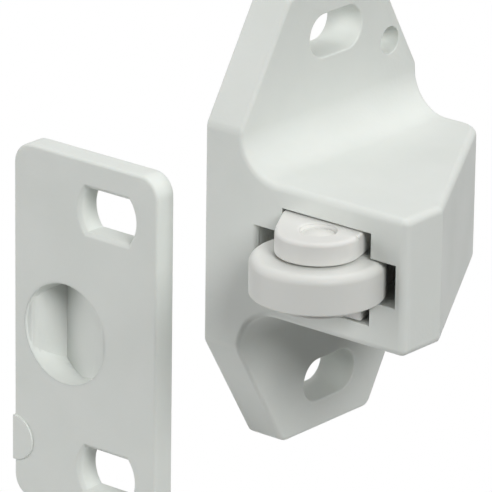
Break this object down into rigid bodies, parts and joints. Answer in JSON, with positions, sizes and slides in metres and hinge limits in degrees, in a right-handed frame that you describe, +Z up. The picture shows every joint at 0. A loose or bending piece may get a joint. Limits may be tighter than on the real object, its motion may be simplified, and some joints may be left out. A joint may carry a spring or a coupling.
{
  "type": "roller catch",
  "caption": "Cabinet roller catch: a roller on a spring-loaded sliding fork in a flanged plastic housing, with a separate strike plate whose round recess takes the roller.",
  "frame": {"origin": "middle of the flange's mounting face: half-way up the flange and level in depth with the middle of its screw slots", "axes": "+X out of the panel the flange is screwed to, +Y from the front face, where the roller shows, towards the back, +Z up along the flange"},
  "size_m": [0.0444, 0.0319, 0.0512],
  "materials": {
    "housing_plastic": "moulded, satin gloss, off-white",
    "carriage_plastic": "moulded, satin gloss, white",
    "roller_plastic": "moulded, satin gloss, white",
    "pin_plastic": "moulded, satin gloss, white",
    "spring_steel": "drawn wire, bright",
    "strike_plastic": "moulded, satin gloss, off-white"
  },
  "bodies": {
    "housing": {"housing": "housing_plastic", "compression_spring": "spring_steel"},
    "carriage": {"roller_carriage": "carriage_plastic", "axle_pin": "pin_plastic"},
    "roller": {"roller": "roller_plastic"},
    "strike": {"strike_plate": "strike_plastic"}
  },
  "joints": [
    {"name": "carriage_slide", "type": "slide", "parent": "housing", "child": "carriage", "axis": [-0.2924, 0.9563, 0], "range_m": [0, 0.0045], "stiffness_N_per_m": 2000, "springref_m": -0.004, "deforming": ["compression_spring"]},
    {"name": "roller_spin", "type": "hinge", "parent": "carriage", "child": "roller", "pos_m": [0.0139, -0.0145, 0], "axis": [0, 0, 1], "continuous": true},
    {"name": "strike_slide", "type": "slide", "parent": "housing", "child": "strike", "axis": [-1, 0, 0], "range_m": [0, 0.03]}
  ]
}
